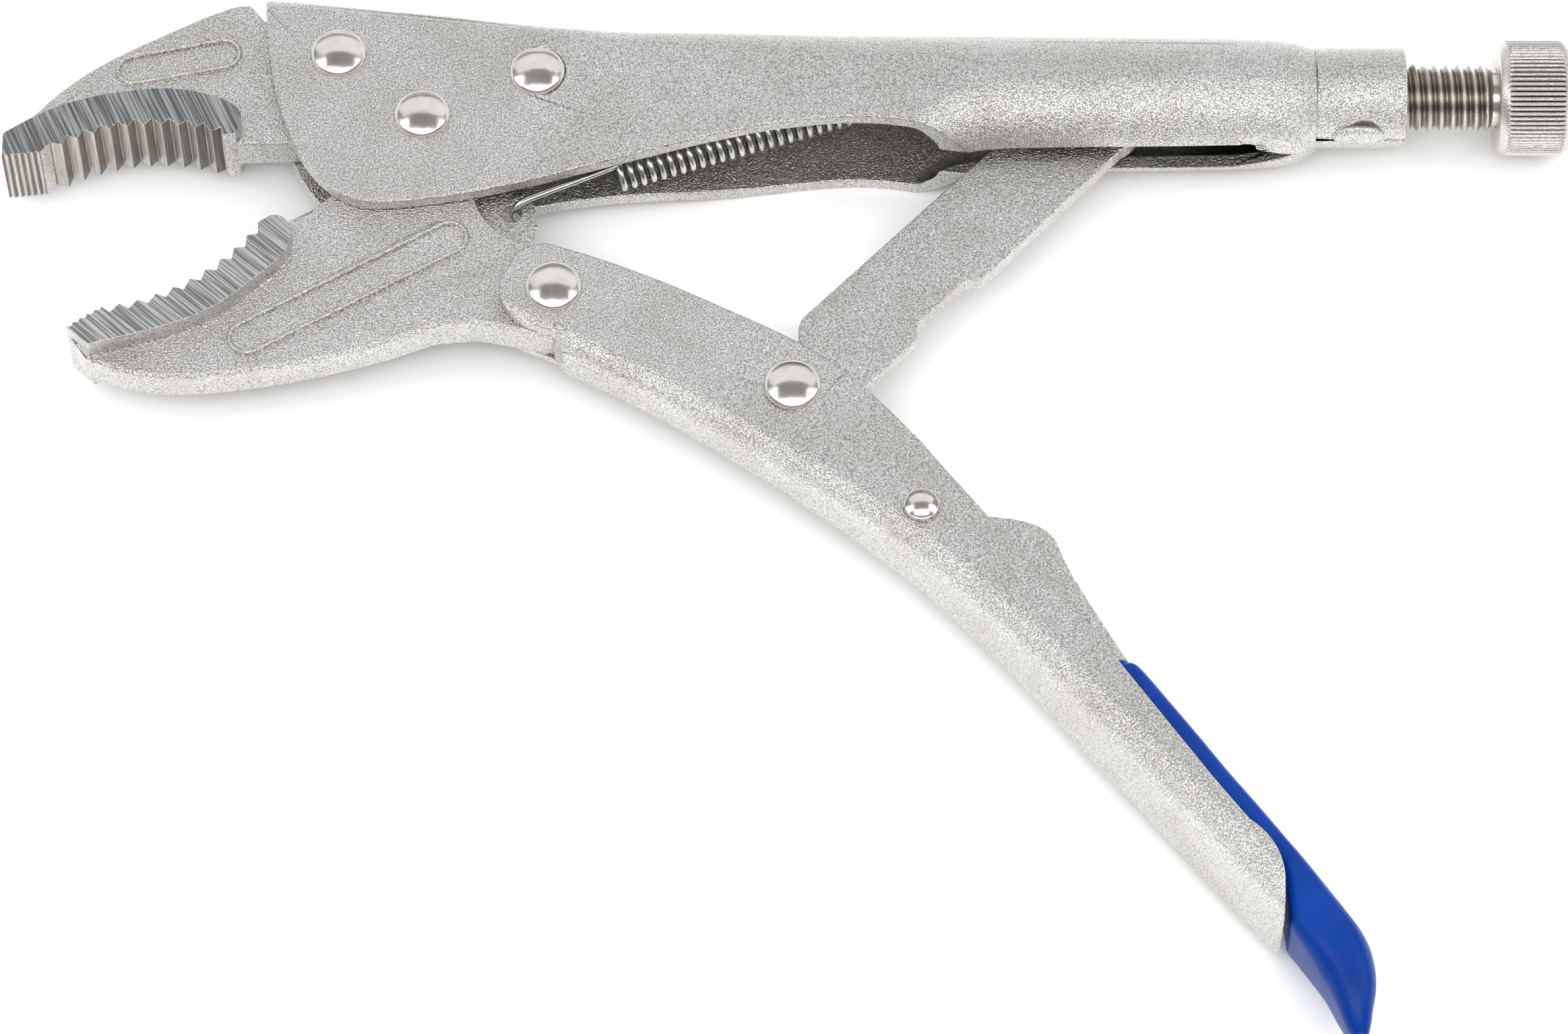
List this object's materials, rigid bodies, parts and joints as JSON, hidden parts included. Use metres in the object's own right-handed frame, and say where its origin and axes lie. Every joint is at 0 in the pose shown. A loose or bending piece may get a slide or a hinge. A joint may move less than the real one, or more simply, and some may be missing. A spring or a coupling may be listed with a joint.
{
  "type": "locking pliers",
  "caption": "Curved-jaw locking pliers with folded sheet-metal handles, toggle link, adjusting screw, return spring and a sleeved release lever.",
  "frame": {"origin": "middle of the whole tool's outline, on the plane that its flat side lies on", "axes": "+X from the jaws to the adjusting knob, +Y from the lower handle to the fixed handle, +Z across the tool's thickness, up from the side it lies on"},
  "size_m": [0.2446, 0.1794, 0.0213],
  "materials": {
    "satin_nickel": "blasted satin nickel plate",
    "forged_nickel": "blasted forging with ground flanks and machined teeth",
    "polished_rivet": "polished",
    "threaded_steel": "bright thread",
    "knurled_steel": "straight knurl",
    "spring_wire": "bright drawn wire",
    "blue_vinyl": "dipped soft vinyl, glossy"
  },
  "bodies": {
    "fixed_handle": {"fixed_handle": "satin_nickel", "upper_jaw": "forged_nickel", "jaw_rivet_front": "polished_rivet", "jaw_rivet_rear": "polished_rivet", "jaw_pivot_rivet": "polished_rivet", "return_spring": "spring_wire"},
    "lower_jaw": {"lower_jaw": "forged_nickel"},
    "lower_handle": {"lower_handle": "satin_nickel", "handle_pivot_rivet": "polished_rivet", "link_pivot_rivet": "polished_rivet", "lever_pivot_rivet": "polished_rivet"},
    "toggle_link": {"toggle_link": "satin_nickel"},
    "release_lever": {"release_lever": "satin_nickel", "lever_grip_sleeve": "blue_vinyl"},
    "screw": {"adjusting_screw": "threaded_steel"},
    "knob": {"adjusting_knob": "knurled_steel"}
  },
  "joints": [
    {"name": "jaw_pivot", "type": "hinge", "parent": "fixed_handle", "child": "lower_jaw", "pos_m": [-0.05715, 0.06692, 0.01065], "axis": [0, 0, -1], "range_deg": [0, 28], "stiffness_Nm_per_rad": 0.25, "springref_deg": -22.92, "deforming": ["return_spring"]},
    {"name": "handle_pivot", "type": "hinge", "parent": "lower_jaw", "child": "lower_handle", "pos_m": [-0.03615, 0.03572, 0.01065], "axis": [0, 0, 1], "range_deg": [0, 69.1]},
    {"name": "link_pivot", "type": "hinge", "parent": "lower_handle", "child": "toggle_link", "pos_m": [0.00055, 0.01792, 0.01065], "axis": [0, 0, -1], "range_deg": [0, 59.5]},
    {"name": "lever_pivot", "type": "hinge", "parent": "lower_handle", "child": "release_lever", "pos_m": [0.01995, -0.00388, 0.01065], "axis": [0, 0, -1], "range_deg": [0, 1]},
    {"name": "knob_spin", "type": "hinge", "parent": "screw", "child": "knob", "pos_m": [0.11665, 0.07352, 0.01065], "axis": [1, 0, 0], "range_deg": [0, 3240]},
    {"name": "screw_feed", "type": "slide", "parent": "fixed_handle", "child": "screw", "axis": [1, 0, 0], "range_m": [0, 0.01633]}
  ],
  "couplings": [
    {"joint": "handle_pivot", "follows": "jaw_pivot", "ratio": 2.4643},
    {"joint": "link_pivot", "follows": "jaw_pivot", "ratio": 2.1214},
    {"joint": "knob_spin", "follows": "screw_feed", "rad_per_m": 3463.2}
  ]
}
